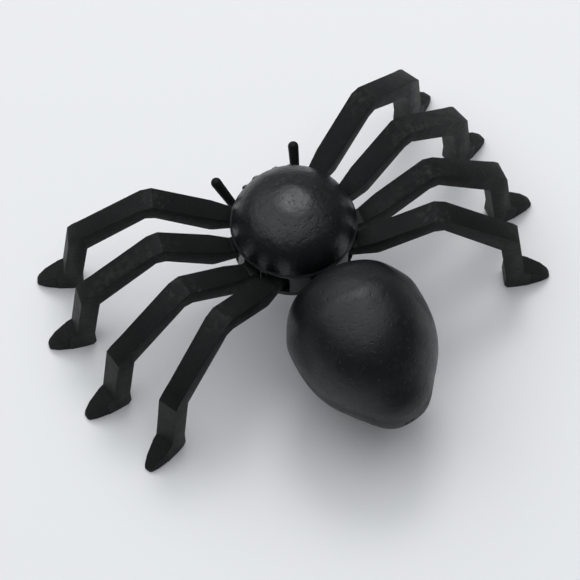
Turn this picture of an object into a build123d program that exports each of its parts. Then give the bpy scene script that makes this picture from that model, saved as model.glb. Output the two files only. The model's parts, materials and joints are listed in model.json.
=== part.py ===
"""Eight-legged spider walking robot, in millimetres.

The head points along -Y, +Z is up, and the feet stand on Z = 0. Two servos drive it: one swings the four
corner legs through a flat link, the other rocks the frame that carries the four middle legs.
Positions called "back" are measured along +Y from the centre of the thorax.
"""
from build123d import *
from math import cos, radians, sin
import os

# ---------------------------------------------------------------- driving dimensions
THORAX_Y = -34.0           # thorax centre, ahead of the origin
THORAX_R = 38.0            # outer radius of the thorax in plan
WALL = 2.0                 # moulded shells
PAN_BOTTOM_Z = 44.0
PAN_FLAT_R = 31.0          # flat underside of the belly pan
PAN_TOP_Z = 54.0           # seam between belly pan and dome
RIM_Z = 72.0               # where the dome leaves its upright skirt
DOME_TOP_Z = 100.0

HIP_X = 16.0               # pivots of the four corner legs
HIP_BACK = 21.0
HIP_PIN_R = 2.5
RUNNING = 0.05             # radial clearance of a pin in its hole
CRANK = 6.5                # arm between a pivot and its link pin
LINK_PIN_R = 1.5
LINK_Z = 75.7
LINK_T = 1.6

LEG_LOW_Z = 58.5           # underside and top of a leg at its root
LEG_TOP_Z = 67.5
KNEE_Z = 93.5
HUB_R = 8.0
CORNER_KNEE = 65.0         # knee distance from the hip pivot
MIDDLE_KNEE = 71.0         # knee distance from the rocker's side line
MIDDLE_START = 7.4         # inner end of a middle leg, from the same line
CORNER_BEND = 14.0         # where the thigh starts to rise
MIDDLE_BEND = 24.0
TOE_CUT = 59.0             # toe cap starts this far past the knee
YAW = {"front": 24.0, "second": 12.0, "third": -5.0, "rear": -22.5}
LINE_BACK = {"front": -HIP_BACK, "second": -2.6, "third": 10.5, "rear": HIP_BACK}

ROCKER_Z = 63.0            # rocker shaft height
ROCKER_SHAFT_R = 3.0

SERVO_WIDE = 12.2          # micro servo case, the common 9 g size
SERVO_LONG = 22.8
SERVO_TALL = 22.7
SERVO_END = 5.9            # output axis to the near end of the case
SERVO_EAR = 4.7
SERVO_EAR_T = 2.5
SERVO_EAR_Z = -6.7         # underside of the ears, below the case's top face
SERVO_BOSS = 4.0
SERVO_SHAFT_R = 2.4
SWING_SERVO_Z = 68.7       # top face of the swing servo's case
LIFT_SERVO_BACK = 55.0     # front face of the lift servo's case

EGG_BACK = 84.0            # widest section of the abdomen
EGG_Z = 66.0
EGG_R = 44.0
EGG_DROOP = 11.0           # degrees that the tail hangs below level
EGG_FRONT = 43.5
EGG_TAIL = 61.5
FULL = 0.88                # under 1 makes the abdomen's front fuller than an ellipse
SEAM_Z = ROCKER_Z          # seam between the abdomen's shells

CELL_R = 5.2               # AAA cell
CELL_LONG = 44.5
CELL_PITCH = 11.2
CELL_Z = 47.5
CELL_BACK = 81.0
BOX_X = 18.6
BOX_BACK = (79.0, 127.5)
BOX_Z = (42.0, 55.5)
DOOR_GAP = 0.4
BOARD_Z = 66.0
BOARD_T = 1.6

QUARTER = [radians(turn) for turn in (0, 22.5, 45, 67.5, 90)]   # stations round a quarter ellipse

parts = {}


def keep(name, part):
    """Label a finished piece and hold it for export."""
    part.label = name
    parts[name] = part


def level(z, back=0.0, x=0.0):
    """Horizontal plane at height z, with its origin the given distance behind the thorax centre."""
    return Plane(origin=(x, THORAX_Y + back, z))


def along_y(back, z=ROCKER_Z, x=0.0):
    """Upright plane across the body, with its normal along +Y and its local y up."""
    return Plane(origin=(x, THORAX_Y + back, z), x_dir=(-1, 0, 0), z_dir=(0, 1, 0))


def drum(plane, radius, height):
    """Round boss on a plane."""
    with BuildPart() as piece:
        with BuildSketch(plane):
            Circle(radius)
        extrude(amount=height)
    return piece.part


def slab(x_low, x_high, back_low, back_high, z_low, z_high, mode=Mode.ADD):
    """Plain block given by its limits, in the part that is being built."""
    with BuildSketch(level(z_low, (back_low + back_high) / 2, (x_low + x_high) / 2)) as outline:
        Rectangle(x_high - x_low, back_high - back_low)
    extrude(outline.sketch, amount=z_high - z_low, mode=mode)


def drums(name, spots, low_z, radius, high_z, head_r=0.0, head_t=0.0, head_low=True):
    """Upright round pins with a head, one solid at each (x, back) spot."""
    with BuildPart() as group:
        with BuildSketch(Plane.XY.offset(low_z)):
            with Locations(*[(x, THORAX_Y + back) for x, back in spots]):
                Circle(radius)
        extrude(amount=high_z - low_z)
        if head_r:
            head_z = low_z - head_t if head_low else high_z
            with BuildSketch(Plane.XY.offset(head_z)):
                with Locations(*[(x, THORAX_Y + back) for x, back in spots]):
                    Circle(head_r)
            extrude(amount=head_t)
            top = head_z if head_low else head_z + head_t
            with BuildSketch(Plane.XY.offset(top)):
                with Locations(*[(x, THORAX_Y + back) for x, back in spots]):
                    RegularPolygon(head_r * 0.5, 6)
            extrude(amount=head_t * 0.5 * (1 if head_low else -1), mode=Mode.SUBTRACT)
    keep(name, group.part)


# ---------------------------------------------------------------- thorax shells
DOME_BOSSES = [(-30.5, -15.5), (30.5, -15.5), (-12.4, 31.3), (12.4, 31.3)]
DOME_BOSS_R = 2.4
DOME_BOSS_TOP = 77.0
SCREW_R = 1.0
HIPS = [(x, back) for x in (-HIP_X, HIP_X) for back in (-HIP_BACK, HIP_BACK)]
HIP_BOSS_R = 6.0
HIP_BOSS_Z = 58.2
SLIDER_SLOT = (6.4, 2.8)
SWITCH_BACK = 24.0
CHASSIS_SCREWS = [(-7.8, -26.0), (7.8, -26.0), (-7.8, 3.5), (7.8, 3.5)]


def dome_solid(inset):
    """The thorax above the seam, drawn in by inset."""
    radius = THORAX_R - inset
    rise = DOME_TOP_Z - RIM_Z - inset
    upright = Plane(origin=(0, THORAX_Y, 0), x_dir=(1, 0, 0), z_dir=(0, -1, 0))
    with BuildPart() as solid:
        with BuildSketch(upright):
            with BuildLine():
                Polyline((0, RIM_Z + rise), (0, PAN_TOP_Z), (radius, PAN_TOP_Z), (radius, RIM_Z))
                Spline(*[(radius * cos(turn), RIM_Z + rise * sin(turn)) for turn in QUARTER],
                       tangents=((0, 1), (-1, 0)))
            make_face()
        revolve(axis=Axis((0, THORAX_Y, 0), (0, 0, 1)))
    return solid.part


def leg_plane(line, side):
    """Upright plane through a leg: local x runs out along the leg, local y is up."""
    yaw = radians(YAW[line])
    out = (side * cos(yaw), -sin(yaw), 0)
    return Plane(origin=(side * HIP_X, THORAX_Y + LINE_BACK[line], 0), x_dir=out,
                 z_dir=(out[1], -out[0], 0))


def leg_window(line, side):
    """The space that one leg needs through the thorax's skirt over its whole travel."""
    half = 8.6 if line in ("front", "rear") else 6.4
    top = 70.6 if line in ("front", "rear") else 71.2
    across = leg_plane(line, side)
    mouth = Plane(origin=across.origin + across.x_dir * 4.0, x_dir=-across.z_dir, z_dir=across.x_dir)
    with BuildPart() as window:
        with BuildSketch(mouth):
            with BuildLine():
                Polyline((-half, 50), (-half, top - 1.2), (-half + 1.2, top),
                         (half - 1.2, top), (half, top - 1.2), (half, 50), close=True)
            make_face()
        extrude(amount=34)
    return window.part


dome_cavity = dome_solid(WALL)
for boss_x, boss_back in DOME_BOSSES:
    dome_cavity -= drum(level(PAN_TOP_Z - 1, boss_back, boss_x), DOME_BOSS_R, DOME_BOSS_TOP - PAN_TOP_Z + 1)

# across, height, radius, root and tip ahead of the thorax centre
EYES = [(-6.5, 77.2, 2.9, 32.0, 37.6), (6.5, 77.2, 2.9, 32.0, 37.6),
        (-15.0, 76.8, 2.1, 30.6, 35.4), (15.0, 76.8, 2.1, 30.6, 35.4)]

dome_outer = dome_solid(0)
leg_windows = [leg_window(line, side) for line in YAW for side in (-1, 1)]

with BuildPart() as thorax_dome:
    add(dome_outer)
    with BuildSketch(Plane(origin=(0, THORAX_Y, 0), x_dir=(1, 0, 0), z_dir=(0, -1, 0))):
        with BuildLine():
            Polyline((THORAX_R - 1, 71.4), (THORAX_R + 0.6, 71.6), (THORAX_R + 1.0, 72.6),
                     (THORAX_R + 0.6, 73.6), (THORAX_R - 1, 74.4), close=True)
        make_face()
    revolve(axis=Axis((0, THORAX_Y, 0), (0, 0, 1)))
    add(dome_cavity, mode=Mode.SUBTRACT)
    for window in leg_windows:
        add(window, mode=Mode.SUBTRACT)
    with BuildSketch(along_y(30.0)):
        Circle(7.5)
    extrude(amount=12, mode=Mode.SUBTRACT)
    for eye_x, eye_z, eye_r, _, _ in EYES:
        with BuildSketch(along_y(-45.0, eye_z, eye_x)):
            Circle(eye_r)
        extrude(amount=17, mode=Mode.SUBTRACT)
    with BuildSketch(Plane.XY.offset(PAN_TOP_Z)):
        with Locations(*[(x, THORAX_Y + back) for x, back in DOME_BOSSES]):
            Circle(SCREW_R)
    extrude(amount=12, mode=Mode.SUBTRACT)
keep("thorax_dome", thorax_dome.part)


def pan_solid(inset):
    """The dish below the seam, drawn in by inset."""
    flat = PAN_FLAT_R - inset * 0.4
    upright = Plane(origin=(0, THORAX_Y, 0), x_dir=(1, 0, 0), z_dir=(0, -1, 0))
    with BuildPart() as solid:
        with BuildSketch(upright):
            with BuildLine():
                Polyline((flat, PAN_BOTTOM_Z + inset), (0, PAN_BOTTOM_Z + inset), (0, PAN_TOP_Z),
                         (THORAX_R - inset, PAN_TOP_Z))
                Spline((THORAX_R - inset, PAN_TOP_Z), (flat, PAN_BOTTOM_Z + inset),
                       tangents=((0, -1), (-1, -0.08)))
            make_face()
        revolve(axis=Axis((0, THORAX_Y, 0), (0, 0, 1)))
    return solid.part


pan_cavity = pan_solid(WALL)
for boss_x, boss_back in HIPS:
    pan_cavity -= drum(level(PAN_BOTTOM_Z, boss_back, boss_x), HIP_BOSS_R, 20)
for boss_x, boss_back in DOME_BOSSES:
    pan_cavity -= drum(level(PAN_BOTTOM_Z, boss_back, boss_x), DOME_BOSS_R + 0.8, 20)

pan_outer = pan_solid(0)

with BuildPart() as belly_pan:
    add(pan_outer)
    add(pan_cavity, mode=Mode.SUBTRACT)
    with BuildSketch(Plane.XY.offset(PAN_TOP_Z)):
        with Locations(*[(x, THORAX_Y + back) for x, back in HIPS]):
            Circle(HIP_BOSS_R)
    extrude(amount=HIP_BOSS_Z - PAN_TOP_Z)
    with BuildSketch(Plane.XY.offset(HIP_BOSS_Z)):
        with Locations(*[(x, THORAX_Y + back) for x, back in HIPS]):
            Circle(HIP_PIN_R)
    extrude(amount=-9, mode=Mode.SUBTRACT)
    with BuildSketch(Plane.XY.offset(PAN_TOP_Z)):
        with Locations(*[(x, THORAX_Y + back) for x, back in DOME_BOSSES]):
            Circle(SCREW_R)
    extrude(amount=-14, mode=Mode.SUBTRACT)
    with BuildSketch(Plane.XY.offset(PAN_BOTTOM_Z - 1)):
        with Locations(*[(x, THORAX_Y + back) for x, back in DOME_BOSSES]):
            Circle(2.1)
    extrude(amount=8.5, mode=Mode.SUBTRACT)
    with BuildSketch(level(PAN_BOTTOM_Z - 1, SWITCH_BACK)):
        SlotOverall(*SLIDER_SLOT)
    extrude(amount=4, mode=Mode.SUBTRACT)
    with BuildSketch(Plane.XY.offset(PAN_BOTTOM_Z - 1)):
        with Locations(*[(x, THORAX_Y + back) for x, back in CHASSIS_SCREWS]):
            Circle(SCREW_R)
    extrude(amount=4, mode=Mode.SUBTRACT)
keep("belly_pan", belly_pan.part)

drums("dome_screws", DOME_BOSSES, 51.5, SCREW_R, 64.0, 1.9, 1.6)
drums("hip_pins", HIPS, 49.5, HIP_PIN_R, LEG_TOP_Z + 0.3, 3.4, 1.6, head_low=False)
drums("chassis_screws", CHASSIS_SCREWS, PAN_BOTTOM_Z, SCREW_R, 48.0, 1.9, 1.0)

# ---------------------------------------------------------------- face
with BuildPart() as eye_lenses:
    for eye_x, eye_z, eye_r, root, tip in EYES:
        axis_line = Plane(origin=(eye_x, THORAX_Y, eye_z), x_dir=(1, 0, 0), z_dir=(0, 0, 1))
        bulge = 0.45 * eye_r
        cap_r = (eye_r ** 2 + bulge ** 2) / (2 * bulge)
        with BuildSketch(axis_line):
            with BuildLine():
                Polyline((0, -root), (eye_r, -root), (eye_r, -(tip - bulge)))
                RadiusArc((eye_r, -(tip - bulge)), (0, -tip), cap_r)
                Line((0, -tip), (0, -root))
            make_face()
        revolve(axis=Axis((eye_x, THORAX_Y, eye_z), (0, 1, 0)))
keep("eye_lenses", eye_lenses.part)


def fang(side):
    """Curved mouth part that hangs from the front of the belly pan."""
    spots = [(-36.6, 50.5, 3.6, 90), (-40.6, 50.0, 3.9, 62), (-43.6, 46.4, 3.2, 25), (-43.8, 39.5, 1.1, 0)]
    with BuildPart() as piece:
        for back, z, radius, tilt in spots:
            lean = radians(tilt)
            with BuildSketch(Plane(origin=(side * 6.2, THORAX_Y + back, z), x_dir=(1, 0, 0),
                                   z_dir=(0, -sin(lean), -cos(lean)))):
                Circle(radius)
        loft()
        add([pan_outer, dome_outer], mode=Mode.SUBTRACT)
    return piece.part.solids().sort_by(SortBy.VOLUME)[-1]


keep("fang_left", fang(1))
keep("fang_right", fang(-1))


def palp(side):
    """Feeler: a bent rod with a rounded club end."""
    knots = [(17.6, -33.4, 51.6, 2.6), (22.0, -37.5, 56.5, 2.7), (27.0, -49.5, 69.0, 3.3)]
    spots = [Vector(side * x, THORAX_Y + back, z) for x, back, z, _ in knots]
    radii = [knot[3] for knot in knots]
    with BuildPart() as piece:
        for first in (0, 1):
            run = spots[first + 1] - spots[first]
            with BuildSketch(Plane(origin=spots[first], z_dir=run)):
                Circle(radii[first])
            with BuildSketch(Plane(origin=spots[first + 1], z_dir=run)):
                Circle(radii[first + 1])
            loft()
        with Locations(spots[1]):
            Sphere(radii[1])
        with Locations(spots[2]):
            Sphere(radii[2])
        add([pan_outer, dome_outer], mode=Mode.SUBTRACT)
    return piece.part.solids().sort_by(SortBy.VOLUME)[-1]


keep("palp_left", palp(1))
keep("palp_right", palp(-1))

# ---------------------------------------------------------------- legs
TOE_REACH = 71.5


def leg_outline(knee, bend, start):
    """Side profile of a leg, from its root to the toe, in distance along the leg and height."""
    return [(start, LEG_TOP_Z), (bend, LEG_TOP_Z), (knee - 3, KNEE_Z), (knee + 4, KNEE_Z - 2),
            (knee + 47, 57.5), (knee + 50, 54), (knee + 54.5, 16), (knee + 60.5, 12.5), (knee + 66.5, 8.2),
            (knee + TOE_REACH - 1.2, 4.2), (knee + TOE_REACH, 2.2), (knee + TOE_REACH, 0), (knee + 44.5, 0), (knee + 42.5, 3), (knee + 43, 14), (knee + 38.5, 48.5),
            (knee + 2, 81.5), (knee - 4, 81), (bend + 14, 61.5), (bend, LEG_LOW_Z), (start, LEG_LOW_Z)]


def leg_plan(knee, bend, start):
    """Half widths seen from above: (distance along the leg, half width)."""
    return [(start, 5.0), (bend, 5.2), (bend + 12, 6.8), (knee + 4, 7.2), (knee + 40, 6.5),
            (knee + 50, 6.7), (knee + 58, 6.2), (knee + 66, 4.6), (knee + TOE_REACH - 1.0, 2.9),
            (knee + TOE_REACH, 1.8)]


def leg_bar(line, side, knee, bend, start):
    """Whole bent bar, toe included."""
    across = leg_plane(line, side)
    above = Plane(origin=across.origin, x_dir=across.x_dir, z_dir=(0, 0, 1))
    widths = leg_plan(knee, bend, start)
    with BuildPart() as bar:
        with BuildSketch(above):
            with BuildLine():
                Polyline(*widths, *[(run, -half) for run, half in reversed(widths)], close=True)
            make_face()
        extrude(amount=KNEE_Z + 10)
        with BuildSketch(across):
            with BuildLine():
                Polyline(*leg_outline(knee, bend, start), close=True)
            make_face()
        extrude(amount=20, both=True, mode=Mode.INTERSECT)
    return bar.part


def leg_pieces(line, side):
    """Make one leg and its toe cap."""
    corner = line in ("front", "rear")
    knee = CORNER_KNEE if corner else MIDDLE_KNEE
    start = 0.0 if corner else MIDDLE_START
    blank = leg_bar(line, side, knee, CORNER_BEND if corner else MIDDLE_BEND, start)
    across = leg_plane(line, side)
    cut = Plane(origin=across.origin + across.x_dir * (knee + TOE_CUT), z_dir=across.x_dir)
    word = "left" if side > 0 else "right"
    with BuildPart() as toe:
        add(blank)
        split(bisect_by=cut, keep=Keep.TOP)
    keep(f"toe_{line}_{word}", toe.part)
    with BuildPart() as leg:
        add(blank)
        split(bisect_by=cut, keep=Keep.BOTTOM)
        if corner:
            hip = level(LEG_LOW_Z, LINE_BACK[line], side * HIP_X)
            with BuildSketch(hip):
                Circle(HUB_R)
            extrude(amount=LEG_TOP_Z - LEG_LOW_Z)
            with BuildSketch(level(63.0, LINE_BACK[line] - CRANK / 2, side * HIP_X)):
                SlotOverall(CRANK + 4.8, 4.8, rotation=90)
            extrude(amount=LEG_TOP_Z - 63.0)
            with BuildSketch(level(LEG_TOP_Z, LINE_BACK[line] - CRANK, side * HIP_X)):
                Circle(2.4)
            extrude(amount=LINK_Z - 0.3 - LEG_TOP_Z)
            with BuildSketch(level(LINK_Z - 0.3, LINE_BACK[line] - CRANK, side * HIP_X)):
                Circle(LINK_PIN_R)
            extrude(amount=LINK_T + 1.2)
            with BuildSketch(hip):
                Circle(HIP_PIN_R + RUNNING)
            extrude(amount=LEG_TOP_Z - LEG_LOW_Z, mode=Mode.SUBTRACT)
        else:
            with BuildSketch(across_holes(line, side)):
                with Locations(*LEG_SCREW_RUNS):
                    Circle(SCREW_R)
            extrude(amount=6.0, mode=Mode.SUBTRACT)
    keep(f"leg_{line}_{word}", leg.part)


LEG_SCREW_RUNS = [(9.6, 0), (13.6, 0)]


def across_holes(line, side):
    """Plane on a middle leg's underside, with local x along the leg."""
    across = leg_plane(line, side)
    return Plane(origin=across.origin + Vector(0, 0, LEG_LOW_Z), x_dir=across.x_dir, z_dir=(0, 0, 1))


for leg_line in YAW:
    for leg_side in (-1, 1):
        leg_pieces(leg_line, leg_side)

# ---------------------------------------------------------------- rocker for the middle legs
PLATE_Z = 56.0
PLATE_T = LEG_LOW_Z - PLATE_Z
half_plate = [(7, 19), (7, 12), (20, 12), (24, 16.6), (28.6, 16.6), (31.2, 10), (31.2, -11),
              (24, -11), (20, -7), (10.5, -7), (10.5, 6)]

with BuildPart() as rocker_frame:
    with BuildSketch(level(PLATE_Z)):
        with BuildLine():
            Polyline(*half_plate, *[(-x, back) for x, back in reversed(half_plate)], close=True)
        make_face()
    extrude(amount=PLATE_T)
    with BuildSketch(along_y(6.5)):
        RectangleRounded(13, 11, 2)
    extrude(amount=12.5)
    with BuildSketch(along_y(6.5, PLATE_Z + 2.5)):
        Rectangle(13, 5)
    extrude(amount=12.5)
    with BuildSketch(along_y(6.0)):
        Circle(ROCKER_SHAFT_R)
    extrude(amount=14, mode=Mode.SUBTRACT)
    for leg_line in ("second", "third"):
        for leg_side in (-1, 1):
            with BuildSketch(across_holes(leg_line, leg_side)):
                with Locations(*LEG_SCREW_RUNS):
                    Circle(SCREW_R)
            extrude(amount=-PLATE_T, mode=Mode.SUBTRACT)
keep("rocker_frame", rocker_frame.part)

with BuildPart() as leg_screws:
    for leg_line in ("second", "third"):
        for leg_side in (-1, 1):
            with BuildSketch(across_holes(leg_line, leg_side).offset(-PLATE_T)):
                with Locations(*LEG_SCREW_RUNS):
                    Circle(SCREW_R)
            extrude(amount=PLATE_T + 5.5)
            with BuildSketch(across_holes(leg_line, leg_side).offset(-PLATE_T - 1.2)):
                with Locations(*LEG_SCREW_RUNS):
                    Circle(1.8)
            extrude(amount=1.2)
keep("leg_screws", leg_screws.part)

FLANGE_R = 7.0
FLANGE_BACK = 46.0
with BuildPart() as rocker_shaft:
    with BuildSketch(along_y(2.2)):
        Circle(ROCKER_SHAFT_R)
    extrude(amount=FLANGE_BACK - 2.2)
    with BuildSketch(along_y(FLANGE_BACK)):
        Circle(FLANGE_R)
    extrude(amount=2)
    chamfer(rocker_shaft.edges().filter_by(GeomType.CIRCLE).sort_by(Axis.Y)[0], 0.5)
keep("rocker_shaft", rocker_shaft.part)

with BuildPart() as lift_horn:
    with BuildSketch(along_y(FLANGE_BACK + 2)):
        Circle(FLANGE_R)
    extrude(amount=1.6)
    with BuildSketch(along_y(FLANGE_BACK + 3.6)):
        Circle(3.4)
    extrude(amount=1.1)
    with BuildSketch(along_y(FLANGE_BACK + 2)):
        Circle(SERVO_SHAFT_R)
        with PolarLocations(5.2, 4):
            Circle(0.8)
    extrude(amount=4, mode=Mode.SUBTRACT)
keep("lift_horn", lift_horn.part)

with BuildPart() as lift_horn_screws:
    with BuildSketch(along_y(FLANGE_BACK + 2)):
        with PolarLocations(5.2, 4):
            Circle(0.8)
    extrude(amount=1.6)
    with BuildSketch(along_y(FLANGE_BACK + 3.6)):
        with PolarLocations(5.2, 4):
            Circle(1.3)
    extrude(amount=0.9)
keep("lift_horn_screws", lift_horn_screws.part)

with BuildPart() as lift_shaft:
    with BuildSketch(along_y(FLANGE_BACK + 2)):
        Circle(SERVO_SHAFT_R)
    extrude(amount=LIFT_SERVO_BACK - FLANGE_BACK - 3)
keep("lift_shaft", lift_shaft.part)


# ---------------------------------------------------------------- servos
def servo_case(name, plane):
    """Micro servo case; the plane lies on its top face, with the output axis at the origin."""
    middle = SERVO_LONG / 2 - SERVO_END
    with BuildPart() as case:
        with BuildSketch(plane):
            with Locations((0, middle)):
                RectangleRounded(SERVO_WIDE, SERVO_LONG, 0.8)
        extrude(amount=-SERVO_TALL)
        with BuildSketch(plane.offset(SERVO_EAR_Z)):
            with Locations((0, middle)):
                Rectangle(SERVO_WIDE, SERVO_LONG + 2 * SERVO_EAR)
        extrude(amount=SERVO_EAR_T)
        with BuildSketch(plane):
            Circle(SERVO_END)
            with Locations((0, 6.2)):
                Circle(2.7)
        extrude(amount=SERVO_BOSS)
        with BuildSketch(plane.offset(SERVO_BOSS)):
            Circle(SERVO_SHAFT_R + RUNNING)
        extrude(amount=-4.2, mode=Mode.SUBTRACT)
        with BuildSketch(plane.offset(SERVO_EAR_Z)):
            with Locations((0, -SERVO_END - 2.4), (0, SERVO_LONG - SERVO_END + 2.4)):
                Circle(SCREW_R)
        extrude(amount=SERVO_EAR_T, mode=Mode.SUBTRACT)
    keep(name, case.part)


swing_top = level(SWING_SERVO_Z, -HIP_BACK)
lift_top = Plane(origin=(0, THORAX_Y + LIFT_SERVO_BACK, ROCKER_Z), x_dir=(-1, 0, 0), z_dir=(0, -1, 0))
servo_case("swing_servo", swing_top)
servo_case("lift_servo", lift_top)

with BuildPart() as servo_screws:
    for top in (swing_top, lift_top):
        with BuildSketch(top.offset(SERVO_EAR_Z - 4)):
            with Locations((0, -SERVO_END - 2.4), (0, SERVO_LONG - SERVO_END + 2.4)):
                Circle(SCREW_R)
        extrude(amount=4 + SERVO_EAR_T)
        with BuildSketch(top.offset(SERVO_EAR_Z + SERVO_EAR_T)):
            with Locations((0, -SERVO_END - 2.4), (0, SERVO_LONG - SERVO_END + 2.4)):
                Circle(1.8)
        extrude(amount=1.2)
keep("servo_screws", servo_screws.part)

HORN_Z = SWING_SERVO_Z + SERVO_BOSS + 0.3
with BuildPart() as swing_shaft:
    with BuildSketch(level(SWING_SERVO_Z + 0.5, -HIP_BACK)):
        Circle(SERVO_SHAFT_R)
    extrude(amount=HORN_Z + 2.2 - SWING_SERVO_Z - 0.5)
keep("swing_shaft", swing_shaft.part)

with BuildPart() as swing_horn:
    with BuildSketch(level(HORN_Z, -HIP_BACK)):
        Circle(3.4)
    extrude(amount=3.2)
    with BuildSketch(level(HORN_Z, -HIP_BACK - CRANK / 2)):
        SlotOverall(CRANK + 4.6, 4.6, rotation=90)
    extrude(amount=LINK_Z - 0.3 - HORN_Z)
    with BuildSketch(level(LINK_Z - 0.3, -HIP_BACK - CRANK)):
        Circle(LINK_PIN_R)
    extrude(amount=LINK_T + 1.2)
    with BuildSketch(level(HORN_Z, -HIP_BACK)):
        Circle(SERVO_SHAFT_R)
    extrude(amount=2.2, mode=Mode.SUBTRACT)
    with BuildSketch(level(HORN_Z, -HIP_BACK)):
        Circle(0.9)
    extrude(amount=4, mode=Mode.SUBTRACT)
keep("swing_horn", swing_horn.part)

with BuildPart() as swing_horn_screw:
    with BuildSketch(level(HORN_Z + 2.2, -HIP_BACK)):
        Circle(0.9)
    extrude(amount=1.0)
    with BuildSketch(level(HORN_Z + 3.2, -HIP_BACK)):
        Circle(2.1)
    extrude(amount=1.3)
keep("swing_horn_screw", swing_horn_screw.part)

with BuildPart() as swing_link:
    with BuildSketch(level(LINK_Z)):
        for rail_x in (-HIP_X, HIP_X):
            with Locations((rail_x, -CRANK)):
                SlotOverall(2 * HIP_BACK + 5.6, 5.6, rotation=90)
        with Locations((0, -HIP_BACK - CRANK)):
            Rectangle(2 * HIP_X, 4.6)
        with Locations((0, HIP_BACK * 0.2)):
            Rectangle(2 * HIP_X, 4.0)
        with Locations((0, -HIP_BACK - CRANK)):
            Circle(LINK_PIN_R + RUNNING, mode=Mode.SUBTRACT)
        with Locations(*[(x, back - CRANK) for x, back in HIPS]):
            Circle(LINK_PIN_R + RUNNING, mode=Mode.SUBTRACT)
    extrude(amount=LINK_T)
keep("swing_link", swing_link.part)

# ---------------------------------------------------------------- thorax chassis
CHASSIS_Z = PAN_BOTTOM_Z + WALL
EAR_Z = SWING_SERVO_Z + SERVO_EAR_Z
with BuildPart() as chassis_frame:
    slab(-9.5, 9.5, -28.0, 4.7, CHASSIS_Z, CHASSIS_Z + 2)
    slab(-SERVO_WIDE / 2, SERVO_WIDE / 2, -31.8, -27.0, CHASSIS_Z, EAR_Z)
    slab(-SERVO_WIDE / 2, SERVO_WIDE / 2, -4.0, 4.7, CHASSIS_Z, EAR_Z)
    slab(-8, 8, 2.1, 4.9, CHASSIS_Z, ROCKER_Z + 6)
    with BuildSketch(level(CHASSIS_Z, -HIP_BACK + SERVO_LONG / 2 - SERVO_END)):
        Rectangle(SERVO_WIDE, SERVO_LONG + 0.2)
    extrude(amount=24, mode=Mode.SUBTRACT)
    with BuildSketch(along_y(1.9)):
        Circle(ROCKER_SHAFT_R + RUNNING)
    extrude(amount=4, mode=Mode.SUBTRACT)
    with BuildSketch(level(EAR_Z, -HIP_BACK)):
        with Locations((0, -SERVO_END - 2.4), (0, SERVO_LONG - SERVO_END + 2.4)):
            Circle(SCREW_R)
    extrude(amount=-4, mode=Mode.SUBTRACT)
    with BuildSketch(level(CHASSIS_Z)):
        with Locations(*CHASSIS_SCREWS):
            Circle(SCREW_R)
    extrude(amount=2, mode=Mode.SUBTRACT)
    add(belly_pan.part, mode=Mode.SUBTRACT)
keep("chassis_frame", chassis_frame.part)

# ---------------------------------------------------------------- power switch
with BuildPart() as power_switch:
    with BuildSketch(level(CHASSIS_Z, SWITCH_BACK)):
        Rectangle(12.0, 5.6)
    extrude(amount=4.8)
    with BuildSketch(level(CHASSIS_Z, SWITCH_BACK)):
        Rectangle(7.4, 3.0)
    extrude(amount=2.6, mode=Mode.SUBTRACT)
keep("power_switch", power_switch.part)

with BuildPart() as switch_slider:
    with BuildSketch(level(CHASSIS_Z + 0.3, SWITCH_BACK, -1.2)):
        Rectangle(4.4, 2.6)
    extrude(amount=1.9)
    with BuildSketch(level(PAN_BOTTOM_Z - 2.4, SWITCH_BACK, -1.2)):
        Rectangle(2.8, 2.2)
    extrude(amount=WALL + 2.8)
    chamfer(switch_slider.edges().group_by(Axis.Z)[0], 0.3)
keep("switch_slider", switch_slider.part)

# ---------------------------------------------------------------- waist
with BuildPart() as waist_coupler:
    with BuildSketch(along_y(32.6)):
        Circle(9.0)
    extrude(amount=1.9)
    with BuildSketch(along_y(34.5)):
        Circle(7.5)
    extrude(amount=11.1)
    with BuildSketch(along_y(38.3)):
        Circle(9.0)
    extrude(amount=2.2)
    with BuildSketch(along_y(32.6)):
        Circle(ROCKER_SHAFT_R + RUNNING)
        with Locations((0, -5.3)):
            SlotOverall(4.4, 2.6)
    extrude(amount=13, mode=Mode.SUBTRACT)
keep("waist_coupler", waist_coupler.part)

# ---------------------------------------------------------------- abdomen shells
droop = radians(EGG_DROOP)
egg_plane = Plane(origin=(0, THORAX_Y + EGG_BACK, EGG_Z), x_dir=(0, cos(droop), -sin(droop)),
                  z_dir=(-1, 0, 0))


def egg(inset):
    """Solid of the abdomen's outer form, drawn in by inset."""
    radius = EGG_R - inset
    front = EGG_FRONT - inset
    with BuildPart() as solid:
        with BuildSketch(egg_plane):
            with BuildLine():
                Spline(*[(-front * max(cos(turn), 0) ** FULL, radius * sin(turn) ** FULL) for turn in QUARTER],
                       tangents=((0, 1), (1, 0)))
                Spline((0, radius), (EGG_TAIL * 0.5, radius * 0.83), (EGG_TAIL * 0.8, radius * 0.52),
                       (EGG_TAIL - inset, 0), tangents=((1, 0), (-0.08, -1)))
                Line((EGG_TAIL - inset, 0), (-front, 0))
            make_face()
        revolve(axis=Axis(egg_plane.origin, egg_plane.x_dir))
    return solid.part


SHELL_POSTS = [(-33.0, 82.0), (33.0, 82.0), (-23.5, 124.0), (23.5, 124.0)]
FRAME_POSTS = [(-22.6, 90.0), (22.6, 90.0), (-22.6, 108.0), (22.6, 108.0)]
POST_R = 3.2
FRAME_POST_Z = 48.0
RECESS_Z = 50.0

outer_egg = egg(0)
inner_egg = egg(WALL)
lower_cavity = inner_egg
upper_cavity = inner_egg
for post_x, post_back in SHELL_POSTS:
    lower_cavity -= drum(level(0, post_back, post_x), POST_R, SEAM_Z)
    upper_cavity -= drum(level(SEAM_Z - 1, post_back, post_x), POST_R, 50)
for post_x, post_back in FRAME_POSTS:
    lower_cavity -= drum(level(0, post_back, post_x), POST_R - 0.4, FRAME_POST_Z)

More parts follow.
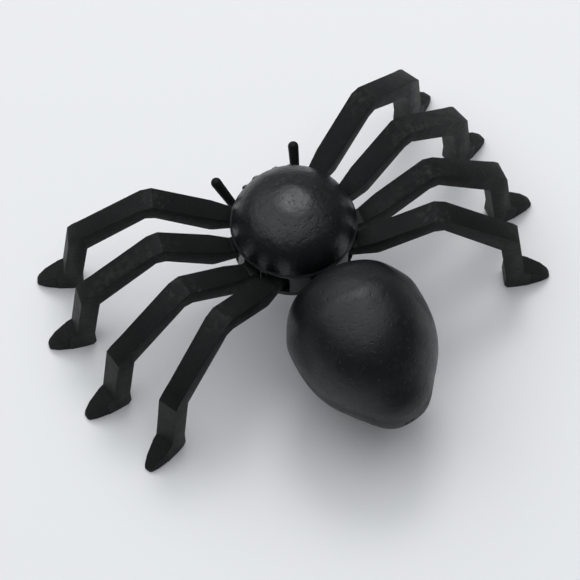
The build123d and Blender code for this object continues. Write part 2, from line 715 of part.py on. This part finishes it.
with BuildPart() as abdomen_upper:
    add(outer_egg)
    add(upper_cavity, mode=Mode.SUBTRACT)
    split(bisect_by=Plane.XY.offset(SEAM_Z), keep=Keep.TOP)
    with BuildSketch(along_y(38.0)):
        Circle(7.5)
    extrude(amount=8, mode=Mode.SUBTRACT)
    with BuildSketch(Plane.XY.offset(SEAM_Z)):
        with Locations(*[(x, THORAX_Y + back) for x, back in SHELL_POSTS]):
            Circle(SCREW_R)
    extrude(amount=7, mode=Mode.SUBTRACT)
keep("abdomen_upper", abdomen_upper.part)

door_low, door_high = BOX_BACK
with BuildPart() as abdomen_lower:
    add(outer_egg)
    add(lower_cavity, mode=Mode.SUBTRACT)
    split(bisect_by=Plane.XY.offset(SEAM_Z), keep=Keep.BOTTOM)
    with BuildSketch(along_y(38.0)):
        Circle(7.5)
    extrude(amount=8, mode=Mode.SUBTRACT)
    with BuildSketch(level(0, (door_low + door_high) / 2)):
        RectangleRounded(2 * BOX_X + 2 * DOOR_GAP, door_high - door_low + 2 * DOOR_GAP, 4 + DOOR_GAP)
    extrude(amount=45, mode=Mode.SUBTRACT)
    with BuildSketch(Plane.XY.offset(SEAM_Z)):
        with Locations(*[(x, THORAX_Y + back) for x, back in SHELL_POSTS]):
            Circle(SCREW_R)
    extrude(amount=-20, mode=Mode.SUBTRACT)
    with BuildSketch(Plane.XY):
        with Locations(*[(x, THORAX_Y + back) for x, back in SHELL_POSTS]):
            Circle(2.2)
    extrude(amount=RECESS_Z, mode=Mode.SUBTRACT)
    with BuildSketch(Plane.XY.offset(FRAME_POST_Z)):
        with Locations(*[(x, THORAX_Y + back) for x, back in FRAME_POSTS]):
            Circle(SCREW_R)
    extrude(amount=-6, mode=Mode.SUBTRACT)
keep("abdomen_lower", abdomen_lower.part)

with BuildPart() as battery_door:
    with BuildSketch(level(0, (door_low + door_high) / 2)):
        RectangleRounded(2 * BOX_X, door_high - door_low, 4)
    extrude(amount=45)
    add(outer_egg, mode=Mode.INTERSECT)
    add(inner_egg, mode=Mode.SUBTRACT)
keep("battery_door", battery_door.part)

drums("abdomen_screws", SHELL_POSTS, RECESS_Z, SCREW_R, SEAM_Z + 6, 2.0, 1.8)

# ---------------------------------------------------------------- inside the abdomen
CELLS_X = [(place - 1) * CELL_PITCH for place in range(3)]
BOARD_POSTS = [(-15.5, 86.0), (15.5, 86.0), (-15.5, 116.0), (15.5, 116.0)]
EAR_BACK = LIFT_SERVO_BACK - SERVO_EAR_Z
LUG_T = 2.5
with BuildPart() as battery_box:
    slab(-BOX_X, BOX_X, *BOX_BACK, *BOX_Z)
    with BuildSketch(along_y(CELL_BACK - 1.0, CELL_Z)):
        with Locations(*[(x, 0) for x in CELLS_X]):
            Circle(CELL_R + 0.2)
        with Locations(*[(x, -4) for x in CELLS_X]):
            Rectangle(2 * CELL_R + 0.4, 8)
    extrude(amount=CELL_LONG + 2.0, mode=Mode.SUBTRACT)
    for side in (-1, 1):
        arm = sorted((side * 7.5, side * 12.5))
        slab(*arm, EAR_BACK, BOX_BACK[0] + 0.5, 50.0, BOX_Z[1])
    slab(-12.5, 12.5, EAR_BACK, EAR_BACK + 2.2, 41.0, 75.0)
    with BuildSketch(along_y(EAR_BACK, ROCKER_Z + SERVO_END - SERVO_LONG / 2)):
        Rectangle(SERVO_WIDE + 0.2, SERVO_LONG + 0.2)
    extrude(amount=30, mode=Mode.SUBTRACT)
    for post_x, post_back in FRAME_POSTS:
        side = 1 if post_x > 0 else -1
        lug = sorted((side * (BOX_X - 1), side * (abs(post_x) + 2.8)))
        slab(*lug, post_back - 2.8, post_back + 2.8, FRAME_POST_Z, FRAME_POST_Z + LUG_T)
    with BuildSketch(Plane.XY.offset(FRAME_POST_Z)):
        with Locations(*[(x, THORAX_Y + back) for x, back in FRAME_POSTS]):
            Circle(SCREW_R)
    extrude(amount=LUG_T, mode=Mode.SUBTRACT)
    with BuildSketch(Plane.XY.offset(BOX_Z[1])):
        with Locations(*[(x, THORAX_Y + back) for x, back in BOARD_POSTS]):
            Circle(2.4)
    extrude(amount=BOARD_Z - BOX_Z[1])
    with BuildSketch(Plane.XY.offset(BOARD_Z)):
        with Locations(*[(x, THORAX_Y + back) for x, back in BOARD_POSTS]):
            Circle(SCREW_R)
    extrude(amount=-6, mode=Mode.SUBTRACT)
    with BuildSketch(along_y(EAR_BACK, ROCKER_Z)):
        with Locations((0, SERVO_END + 2.4), (0, -(SERVO_LONG - SERVO_END + 2.4))):
            Circle(SCREW_R)
    extrude(amount=3, mode=Mode.SUBTRACT)
keep("battery_box", battery_box.part)

drums("frame_screws", FRAME_POSTS, FRAME_POST_Z - 5.5, SCREW_R, FRAME_POST_Z + LUG_T, 1.9, 1.3, head_low=False)
drums("board_screws", BOARD_POSTS, BOARD_Z - 5, SCREW_R, BOARD_Z + BOARD_T, 1.9, 1.2, head_low=False)

with BuildPart() as battery_cells:
    with BuildSketch(along_y(CELL_BACK, CELL_Z)):
        with Locations(*[(x, 0) for x in CELLS_X]):
            Circle(CELL_R)
    extrude(amount=CELL_LONG - 0.8)
    for place, cell_x in enumerate(CELLS_X):
        nub = CELL_BACK + CELL_LONG - 0.8 if place % 2 else CELL_BACK - 0.8
        with BuildSketch(along_y(nub, CELL_Z, cell_x)):
            Circle(1.9)
        extrude(amount=0.8)
keep("battery_cells", battery_cells.part)

with BuildPart() as battery_contacts:
    for contact_back, thick in ((80.0, 0.2), (125.6, 0.6)):
        with BuildSketch(along_y(contact_back, CELL_Z)):
            with Locations(*[(x, 0) for x in CELLS_X]):
                Circle(4.2)
        extrude(amount=thick)
keep("battery_contacts", battery_contacts.part)

with BuildPart() as controller_board:
    with BuildSketch(level(BOARD_Z, 101.0)):
        RectangleRounded(36, 35, 2)
    extrude(amount=BOARD_T)
    with BuildSketch(Plane.XY.offset(BOARD_Z)):
        with Locations(*[(x, THORAX_Y + back) for x, back in BOARD_POSTS]):
            Circle(SCREW_R)
    extrude(amount=BOARD_T, mode=Mode.SUBTRACT)
keep("controller_board", controller_board.part)

BOARD_TOP = BOARD_Z + BOARD_T
with BuildPart() as board_chips:
    slab(-5, 5, 96, 106, BOARD_TOP, BOARD_TOP + 1.6)
    slab(-12, -8, 97, 103, BOARD_TOP, BOARD_TOP + 1.4)
    slab(8, 11, 98, 104, BOARD_TOP, BOARD_TOP + 1.8)
    for can_x in (-7.0, 7.0):
        with BuildSketch(level(BOARD_TOP, 111, can_x)):
            Circle(2.5)
        extrude(amount=6)
keep("board_chips", board_chips.part)

with BuildPart() as board_connectors:
    slab(-12.5, -4.5, 84.6, 88.6, BOARD_TOP, BOARD_TOP + 7)
    slab(-3, 5, 84.6, 88.6, BOARD_TOP, BOARD_TOP + 7)
    slab(6.5, 12.5, 84.6, 88.6, BOARD_TOP, BOARD_TOP + 5)
keep("board_connectors", board_connectors.part)

# ---------------------------------------------------------------- files
os.makedirs("parts", exist_ok=True)
for part_name, part in parts.items():
    export_step(part, f"parts/{part_name}.step")
print(len(parts), "parts")
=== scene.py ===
import json
import math

import bmesh
import bpy
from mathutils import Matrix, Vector, noise

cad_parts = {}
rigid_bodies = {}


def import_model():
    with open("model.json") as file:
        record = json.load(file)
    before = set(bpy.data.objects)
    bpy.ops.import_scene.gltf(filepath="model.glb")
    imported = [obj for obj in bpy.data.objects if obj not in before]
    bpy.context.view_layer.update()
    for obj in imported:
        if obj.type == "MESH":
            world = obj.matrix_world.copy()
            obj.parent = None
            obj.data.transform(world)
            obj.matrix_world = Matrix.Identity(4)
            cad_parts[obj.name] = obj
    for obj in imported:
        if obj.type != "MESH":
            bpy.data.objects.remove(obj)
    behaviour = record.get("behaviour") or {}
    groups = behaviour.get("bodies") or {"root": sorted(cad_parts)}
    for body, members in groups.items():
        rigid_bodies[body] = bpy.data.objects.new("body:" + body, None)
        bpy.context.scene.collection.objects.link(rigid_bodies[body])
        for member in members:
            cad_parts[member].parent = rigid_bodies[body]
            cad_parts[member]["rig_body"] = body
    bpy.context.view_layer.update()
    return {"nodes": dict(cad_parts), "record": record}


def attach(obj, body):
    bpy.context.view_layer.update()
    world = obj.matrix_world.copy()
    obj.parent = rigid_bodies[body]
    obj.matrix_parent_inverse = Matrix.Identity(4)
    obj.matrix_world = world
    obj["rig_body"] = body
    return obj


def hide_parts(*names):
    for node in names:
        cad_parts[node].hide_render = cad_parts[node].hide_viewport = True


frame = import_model()
NODES = frame["nodes"]
SLOT_OF = {part["node"]: part["material_slot"] for part in frame["record"]["subparts"]}
MM = 0.001

# ---------------------------------------------------------------- camera and studio, in metres
AZIMUTH = math.radians(28.84)      # from behind, towards the left side
ELEVATION = math.radians(61.25)
FRAME_WIDTH = 0.3547               # across the picture at the object
DISTANCE = 2.5
SENSOR = 36.0                      # millimetres
BODY_MIDDLE = Vector((0, 0, 0.05))
AIM_LEFT, AIM_DOWN = 0.0186, 0.0040    # how far the picture's middle lies from the body's

CEILING = Vector((0.03, -0.33, 0.94)).normalized()     # direction of the soft light's middle
CEILING_EDGE = math.cos(math.radians(56))              # it fades out at this angle off its middle
CEILING_CORE = math.cos(math.radians(33))              # and is full inside this one
CEILING_GLOW = 1.55
ROOM_GLOW = 0.10
FLOOR_HALF = 25

# ---------------------------------------------------------------- heights of the painted highlights and the legs' tint
DOME_RIM, DOME_RIM_HALF = 0.0732, 1.3 * MM     # bead round the thorax, with a painted highlight along it
KNEE_TOP, KNEE_HALF = 0.0925, 7 * MM           # the legs' knees, whose tops carry a painted highlight
SHIN_MIDDLE, SHIN_HALF = 0.030, 0.042

# ---------------------------------------------------------------- mesh work
WELD = 0.004 * MM                      # the frame's meshes are split at their edges
FLAT = math.radians(1.2)               # neighbouring faces turned less than this merge
BEVEL_FROM = math.radians(24)          # edges sharper than this are rounded
BEVEL_STEPS = 3
DENT_STOP = math.radians(20)           # no dents at edges sharper than this
DENT_REACH = 5 * MM                    # or where the mesh is coarser than this
FINE_WAVE = 0.45                       # size of the finer dents, as a share of the coarse ones'
FINE_SHIFT = Vector((7, 3, 5))


def add_camera():
    back = Vector((math.sin(AZIMUTH) * math.cos(ELEVATION),
                   math.cos(AZIMUTH) * math.cos(ELEVATION), math.sin(ELEVATION)))
    right = Vector((-math.cos(AZIMUTH), math.sin(AZIMUTH), 0))
    up = back.cross(right)
    target = BODY_MIDDLE - right * AIM_LEFT - up * AIM_DOWN
    data = bpy.data.cameras.new("camera")
    data.sensor_width = SENSOR
    data.lens = SENSOR * DISTANCE / FRAME_WIDTH
    data.clip_start, data.clip_end = 0.1, 20
    camera = bpy.data.objects.new("camera", data)
    camera.location = target + back * DISTANCE
    camera.rotation_euler = (-back).to_track_quat("-Z", "Y").to_euler()
    bpy.context.scene.collection.objects.link(camera)
    bpy.context.scene.camera = camera


def add_key_light():
    """A weak soft lamp at the front right, which gives the ceiling's light a direction."""
    place, aim = Vector((-0.45, -0.75, 1.5)), Vector((0, 0, 0.06))
    data = bpy.data.lights.new("key", "AREA")
    data.shape = "RECTANGLE"
    data.size, data.size_y = 0.6, 0.5
    data.energy = 5
    data.color = (1.0, 0.99, 0.97)
    light = bpy.data.objects.new("key", data)
    light.location = place
    light.rotation_euler = (aim - place).to_track_quat("-Z", "Y").to_euler()
    bpy.context.scene.collection.objects.link(light)


def add_studio():
    """A wide soft ceiling of light, a little to the front, over a dim room."""
    world = bpy.data.worlds.new("studio")
    world.use_nodes = True
    tree = world.node_tree
    place = tree.nodes.new("ShaderNodeTexCoord")
    facing = tree.nodes.new("ShaderNodeVectorMath")
    facing.operation = "DOT_PRODUCT"
    facing.inputs[1].default_value = CEILING
    spread = tree.nodes.new("ShaderNodeMapRange")
    spread.interpolation_type = "SMOOTHSTEP"
    spread.inputs["From Min"].default_value = CEILING_EDGE
    spread.inputs["From Max"].default_value = CEILING_CORE
    spread.inputs["To Min"].default_value = ROOM_GLOW
    spread.inputs["To Max"].default_value = CEILING_GLOW
    sky = tree.nodes["Background"]
    sky.inputs["Color"].default_value = (0.93, 0.96, 1.0, 1)
    tree.links.new(place.outputs["Generated"], facing.inputs[0])
    tree.links.new(facing.outputs["Value"], spread.inputs["Value"])
    tree.links.new(spread.outputs["Result"], sky.inputs["Strength"])
    bpy.context.scene.world = world
    bpy.context.scene.view_settings.view_transform = "Standard"


def add_floor():
    mesh = bpy.data.meshes.new("floor")
    half = FLOOR_HALF
    corners = [(-half, -half, 0), (half, -half, 0), (half, half, 0), (-half, half, 0)]
    mesh.from_pydata(corners, [], [(0, 1, 2, 3)])
    floor = bpy.data.objects.new("floor", mesh)
    bpy.context.scene.collection.objects.link(floor)
    material = bpy.data.materials.new("floor_paper")
    material.use_nodes = True
    shader = material.node_tree.nodes["Principled BSDF"]
    shader.inputs["Base Color"].default_value = (0.93, 0.93, 0.93, 1)
    shader.inputs["Roughness"].default_value = 0.9
    mesh.materials.append(material)


# ---------------------------------------------------------------- materials
class Surface:
    """A principled material whose colour, roughness and bump come from layered noise."""

    def __init__(self, name, **sockets):
        self.material = bpy.data.materials.new(name)
        self.material.use_nodes = True
        self.tree = self.material.node_tree
        self.shader = self.tree.nodes["Principled BSDF"]
        for key, value in sockets.items():
            self.shader.inputs[key.replace("_", " ")].default_value = value
        self.place = self.node("ShaderNodeTexCoord").outputs["Object"]

    def node(self, kind, **settings):
        made = self.tree.nodes.new(kind)
        for key, value in settings.items():
            setattr(made, key, value)
        return made

    def join(self, output, socket):
        self.tree.links.new(output, socket)

    def noise(self, scale, detail, rough=0.5):
        texture = self.node("ShaderNodeTexNoise")
        texture.inputs["Scale"].default_value = scale
        texture.inputs["Detail"].default_value = detail
        texture.inputs["Roughness"].default_value = rough
        self.join(self.place, texture.inputs["Vector"])
        return texture.outputs["Fac"]

    def ramp(self, value, low, high, out_low=0.0, out_high=1.0):
        """value from low to high, spread from out_low to out_high and held there outside."""
        spread = self.node("ShaderNodeMapRange")
        spread.inputs["From Min"].default_value = low
        spread.inputs["From Max"].default_value = high
        spread.inputs["To Min"].default_value = out_low
        spread.inputs["To Max"].default_value = out_high
        self.join(value, spread.inputs["Value"])
        return spread.outputs["Result"]

    def mix(self, share, first, second):
        blend = self.node("ShaderNodeMix", data_type="RGBA")
        self.join(share, blend.inputs["Factor"])
        for socket, colour in ((blend.inputs["A"], first), (blend.inputs["B"], second)):
            if isinstance(colour, tuple):
                socket.default_value = (*colour, 1)
            else:
                self.join(colour, socket)
        return blend.outputs["Result"]

    def times(self, first, second):
        product = self.node("ShaderNodeMath", operation="MULTIPLY")
        self.join(first, product.inputs[0])
        if isinstance(second, float):
            product.inputs[1].default_value = second
        else:
            self.join(second, product.inputs[1])
        return product.outputs["Value"]

    def larger(self, first, second):
        most = self.node("ShaderNodeMath", operation="MAXIMUM")
        self.join(first, most.inputs[0])
        self.join(second, most.inputs[1])
        return most.outputs["Value"]

    def height_band(self, middle, half):
        """1 at one height on the object, fading to 0 above and below it."""
        parts = self.node("ShaderNodeSeparateXYZ")
        self.join(self.place, parts.inputs["Vector"])
        apart = self.node("ShaderNodeMath", operation="SUBTRACT")
        self.join(parts.outputs["Z"], apart.inputs[0])
        apart.inputs[1].default_value = middle
        size = self.node("ShaderNodeMath", operation="ABSOLUTE")
        self.join(apart.outputs["Value"], size.inputs[0])
        return self.ramp(size.outputs["Value"], half, half * 0.4)

    def bump(self, *layers):
        """Layers of (height, depth in metres, strength), finest last."""
        normal = None
        for height, depth, strength in layers:
            made = self.node("ShaderNodeBump")
            made.inputs["Distance"].default_value = depth
            made.inputs["Strength"].default_value = strength
            self.join(height, made.inputs["Height"])
            if normal:
                self.join(normal, made.inputs["Normal"])
            normal = made.outputs["Normal"]
        self.join(normal, self.shader.inputs["Normal"])

    def edge_wear_and_highlight(self):
        """1 along convex edges, 0 on flat faces, broken up by noise: paler edges, partly wear and
        partly painted highlight.
        """
        point = self.node("ShaderNodeNewGeometry").outputs["Pointiness"]
        return self.times(self.ramp(point, 0.53, 0.62), self.ramp(self.noise(260, 4), 0.35, 0.6))

    def colour(self, output):
        self.join(output, self.shader.inputs["Base Color"])

    def roughness(self, output):
        self.join(output, self.shader.inputs["Roughness"])


def moulded(name, dark, light, wear_and_highlight_colour, rough, grain=1500, grain_depth=0.06 * MM, pits=0.4,
            dents=0.5, highlight_band=None, shin=None, **sockets):
    """Satin moulded plastic: mottled colour, orange-peel skin, fine pits and paler edges, partly
    wear and partly painted highlight. A band height gets a painted highlight in patches round the
    piece, and shin is the tint of a leg's lower end."""
    skin = Surface(name, IOR=1.5, **sockets)
    cloud = skin.ramp(skin.noise(42, 5, 0.6), 0.3, 0.7)
    base = skin.mix(cloud, dark, light)
    # paler convex edges: partly wear, partly painted highlight along the rims
    wear_and_highlight_mask = skin.times(skin.edge_wear_and_highlight(), 0.55)
    if highlight_band:
        # a painted highlight in patches round the band's height
        rim_highlight_patches = skin.ramp(skin.noise(90, 4), 0.38, 0.62, 0.15, 0.9)
        wear_and_highlight_mask = skin.larger(wear_and_highlight_mask, skin.times(skin.height_band(*highlight_band), rim_highlight_patches))
    shown = skin.mix(wear_and_highlight_mask, base, wear_and_highlight_colour)
    # a painted highlight on the knees and a tint low on the legs
    if shin:
        shown = limb_highlight_and_tint(skin, shown, wear_and_highlight_colour, shin)
    skin.colour(shown)
    skin.roughness(skin.ramp(skin.noise(120, 6, 0.65), 0.3, 0.72, *rough))
    peel = skin.noise(grain * 0.22, 3)
    fine = skin.noise(grain, 2)
    spots = skin.ramp(skin.noise(grain * 0.3, 1.5, 0.3), 0.28, 0.36)
    skin.bump((peel, grain_depth * 5, dents), (spots, grain_depth * 3, pits),
              (fine, grain_depth, 0.7))
    return skin.material


def limb_highlight_and_tint(skin, shown, wear_and_highlight_colour, shin):
    """A painted highlight in broken patches on the knees' tops, and the shin's tint in uneven
    patches towards the legs' lower ends.
    """
    patches = skin.ramp(skin.noise(55, 4, 0.6), 0.32, 0.62, 0.25, 1.0)
    low = skin.times(skin.height_band(SHIN_MIDDLE, SHIN_HALF), patches)
    # painted highlight on the knees' tops, broken up by noise
    knee_highlight_patches = skin.times(skin.ramp(skin.noise(240, 6, 0.72), 0.5, 0.68), 0.75)
    knee_highlight_mask = skin.times(skin.height_band(KNEE_TOP, KNEE_HALF), knee_highlight_patches)
    return skin.mix(knee_highlight_mask, skin.mix(low, shown, shin), wear_and_highlight_colour)


def metal(name, dull, bright, rough):
    steel = Surface(name, Metallic=1.0)
    scratch = steel.noise(1400, 5, 0.7)
    steel.colour(steel.mix(steel.ramp(scratch, 0.3, 0.7), dull, bright))
    steel.roughness(steel.ramp(steel.noise(500, 4), 0.3, 0.7, *rough))
    steel.bump((scratch, 0.03 * MM, 0.5))
    return steel.material


def make_materials():
    """One material for each slot of the record, and dome_black for the thorax dome. A moulded
    one has a dark, a light and a paler colour for worn edges and painted highlights, then its
    lowest and highest roughness."""
    shell = ((0.0026, 0.0029, 0.0034), (0.0056, 0.0061, 0.0070), (0.030, 0.032, 0.036))
    limb = ((0.0030, 0.0035, 0.0034), (0.0066, 0.0076, 0.0073), (0.032, 0.034, 0.032))
    under = ((0.0028, 0.0030, 0.0033), (0.0056, 0.0060, 0.0064), (0.022, 0.024, 0.026))
    rubber = ((0.0060, 0.0072, 0.0064), (0.0110, 0.0132, 0.0116), (0.03, 0.032, 0.03))
    fang = ((0.005, 0.005, 0.006), (0.009, 0.009, 0.010), (0.03, 0.03, 0.033))
    lens = ((0.020, 0.0012, 0.0014), (0.040, 0.0022, 0.0024), (0.07, 0.006, 0.006))
    return {
        "shell_black": moulded("shell_satin", *shell, (0.36, 0.48), pits=0.6,
                               Specular_IOR_Level=0.42),
        # a painted highlight runs round the dome's rim bead
        "dome_black": moulded("dome_satin", *shell, (0.31, 0.43), pits=0.55, dents=0.9,
                              highlight_band=(DOME_RIM, DOME_RIM_HALF)),
        "underside_black": moulded("underside_satin", *under, (0.48, 0.62),
                                   Specular_IOR_Level=0.35),
        # a painted highlight on the knees, and a tint towards the legs' lower ends
        "leg_black": moulded("leg_satin", *limb, (0.46, 0.60), pits=0.35, dents=0.7,
                             shin=(0.0085, 0.0125, 0.0098), Specular_IOR_Level=0.17),
        "toe_rubber": moulded("toe_rubber_matt", *rubber, (0.62, 0.80), grain=2200, pits=0.6,
                              Specular_IOR_Level=0.2),
        "fang_black": moulded("fang_gloss", *fang, (0.18, 0.28), pits=0.15),
        "eye_red": moulded("eye_lens", *lens, (0.08, 0.16), grain_depth=0.01 * MM, pits=0.1,
                           dents=0.2, Coat_Weight=0.2, Coat_Roughness=0.12),
        "servo_blue": moulded("servo_case", (0.010, 0.035, 0.16), (0.015, 0.050, 0.21),
                              (0.08, 0.14, 0.30), (0.30, 0.42)),
        "nylon_white": moulded("nylon", (0.60, 0.59, 0.55), (0.72, 0.71, 0.67),
                               (0.80, 0.80, 0.77), (0.42, 0.56)),
        "frame_grey": moulded("frame_plastic", (0.030, 0.031, 0.033), (0.048, 0.050, 0.053),
                              (0.10, 0.10, 0.11), (0.48, 0.62)),
        "cell_wrap": moulded("cell_sleeve", (0.055, 0.058, 0.062), (0.085, 0.088, 0.092),
                             (0.20, 0.20, 0.21), (0.24, 0.36)),
        "board_green": moulded("board_mask", (0.008, 0.070, 0.028), (0.014, 0.100, 0.042),
                               (0.08, 0.15, 0.08), (0.28, 0.42)),
        "chip_black": moulded("chip_epoxy", (0.010, 0.010, 0.011), (0.018, 0.018, 0.019),
                              (0.05, 0.05, 0.05), (0.45, 0.6)),
        "steel": metal("screw_steel", (0.30, 0.31, 0.32), (0.46, 0.47, 0.48), (0.26, 0.40)),
        "contact_metal": metal("contact_nickel", (0.55, 0.52, 0.44), (0.70, 0.66, 0.58),
                               (0.20, 0.32)),
    }


# ---------------------------------------------------------------- pieces that replace nodes
def body_of(node):
    return NODES[node]["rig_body"]


def copy_of(node, name, material):
    piece = bpy.data.objects.new(name, NODES[node].data.copy())
    bpy.context.scene.collection.objects.link(piece)
    piece.data.materials.clear()
    piece.data.materials.append(material)
    return piece


def smooth_by_angle(piece, degrees):
    for face in piece.data.polygons:
        face.use_smooth = True
    piece.data.set_sharp_from_angle(angle=math.radians(degrees))


def settle(piece, node):
    """The piece takes the node's body and place, and the node is hidden."""
    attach(piece, body_of(node))
    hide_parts(node)


def soft_edged(node, name, material, width):
    """The node's own shape with rounded edges."""
    piece = copy_of(node, name, material)
    work = bmesh.new()
    work.from_mesh(piece.data)
    bmesh.ops.remove_doubles(work, verts=work.verts, dist=WELD)
    bmesh.ops.dissolve_limit(work, angle_limit=FLAT, verts=work.verts, edges=work.edges)
    work.to_mesh(piece.data)
    work.free()
    bevel = piece.modifiers.new("bevel", "BEVEL")
    bevel.width = width
    bevel.segments = BEVEL_STEPS
    bevel.limit_method = "ANGLE"
    bevel.angle_limit = BEVEL_FROM
    graph = bpy.context.evaluated_depsgraph_get()
    mesh = bpy.data.meshes.new_from_object(piece.evaluated_get(graph))
    piece.modifiers.clear()
    piece.data = mesh
    smooth_by_angle(piece, 40)
    settle(piece, node)


def dentable(vertex):
    """True on finely meshed skin away from sharp edges. Flat faces are coarse, and stay flat."""
    return not any(edge.calc_face_angle(0) > DENT_STOP or edge.calc_length() > DENT_REACH
                   for edge in vertex.link_edges)


def pebbled(node, name, material, depth, size):
    """The node's own shape, with shallow uneven dents pressed into its curved skin."""
    piece = copy_of(node, name, material)
    work = bmesh.new()
    work.from_mesh(piece.data)
    bmesh.ops.remove_doubles(work, verts=work.verts, dist=WELD)
    work.normal_update()
    rest = [(vertex.co.copy(), vertex.normal.copy()) for vertex in work.verts]
    for vertex, (place, normal) in zip(work.verts, rest):
        if dentable(vertex):
            fine = noise.noise(place / (size * FINE_WAVE) + FINE_SHIFT)
            wave = max(-1.0, min(1.0, noise.noise(place / size) + 0.5 * fine))
            vertex.co = place - normal * depth * (0.5 + 0.5 * wave)
    work.to_mesh(piece.data)
    work.free()
    smooth_by_angle(piece, 18)
    settle(piece, node)


# ---------------------------------------------------------------- build
add_camera()
add_studio()
add_key_light()
add_floor()
MATERIALS = make_materials()

for node, thing in NODES.items():
    thing.data.materials.clear()
    thing.data.materials.append(
        MATERIALS["dome_black" if node == "thorax_dome" else SLOT_OF[node]])

LEG, TOE = MATERIALS["leg_black"], MATERIALS["toe_rubber"]
for side in ("left", "right"):
    for line in ("front", "second", "third", "rear"):
        soft_edged(f"leg_{line}_{side}", f"walking_leg_{line}_{side}", LEG, 0.8 * MM)
        soft_edged(f"toe_{line}_{side}", f"toe_cap_{line}_{side}", TOE, 0.5 * MM)

pebbled("thorax_dome", "thorax_shell_upper", MATERIALS["dome_black"], 0.35 * MM, 9 * MM)
pebbled("abdomen_upper", "abdomen_shell_upper", MATERIALS["shell_black"], 0.30 * MM, 12 * MM)
pebbled("abdomen_lower", "abdomen_shell_lower", MATERIALS["underside_black"], 0.30 * MM, 12 * MM)
for side in ("left", "right"):
    soft_edged(f"palp_{side}", f"feeler_{side}", LEG, 0.3 * MM)
